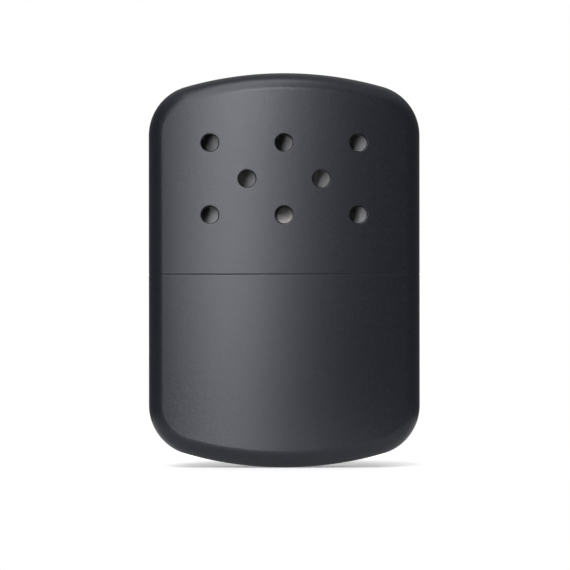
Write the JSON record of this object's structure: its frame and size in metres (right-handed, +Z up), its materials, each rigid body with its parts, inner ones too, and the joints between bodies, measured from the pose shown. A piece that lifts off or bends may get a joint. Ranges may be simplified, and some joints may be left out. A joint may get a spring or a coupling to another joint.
{
  "type": "catalytic hand warmer",
  "caption": "Flat rounded pocket warmer: vented pull-off lid over a catalytic burner that slips on the neck of a wadded fuel tank.",
  "frame": {"origin": "middle of the underside, where the arched base touches a table when the warmer stands upright", "axes": "+Z up along the height, from tank to lid; X along the width; the vents face -Y, and Y is the thickness"},
  "size_m": [0.0682, 0.0142, 0.099],
  "materials": {
    "painted_case": "satin black paint with a fine speckled texture over deep-drawn steel; bare plated metal inside",
    "plated_steel": "nickel-plated drawn steel, satin",
    "burner_steel": "stainless sheet, satin, slightly heat-tinted",
    "wire_gauze": "plain woven stainless wire",
    "catalyst_fibre": "platinum-grey needled glass fibre",
    "white_felt": "pressed wool felt, matte",
    "cotton_wadding": "loose cotton wadding, matte"
  },
  "bodies": {
    "tank": {"tank_shell": "painted_case", "tank_collar": "plated_steel", "filler_neck": "plated_steel", "neck_strainer": "plated_steel", "wick_felt": "white_felt", "wadding_lower": "cotton_wadding", "wadding_middle": "cotton_wadding", "wadding_upper": "cotton_wadding"},
    "lid": {"lid_shell": "painted_case"},
    "burner": {"burner_socket": "burner_steel", "burner_cage": "burner_steel", "burner_roof": "burner_steel", "gauze_front": "wire_gauze", "gauze_rear": "wire_gauze", "gauze_floor": "wire_gauze", "catalyst_mat": "catalyst_fibre"}
  },
  "joints": [
    {"name": "lid_slide", "type": "slide", "parent": "tank", "child": "lid", "axis": [0, 0, 1], "range_m": [0, 0.045]},
    {"name": "burner_slide", "type": "slide", "parent": "tank", "child": "burner", "axis": [0, 0, 1], "range_m": [0, 0.012]}
  ]
}
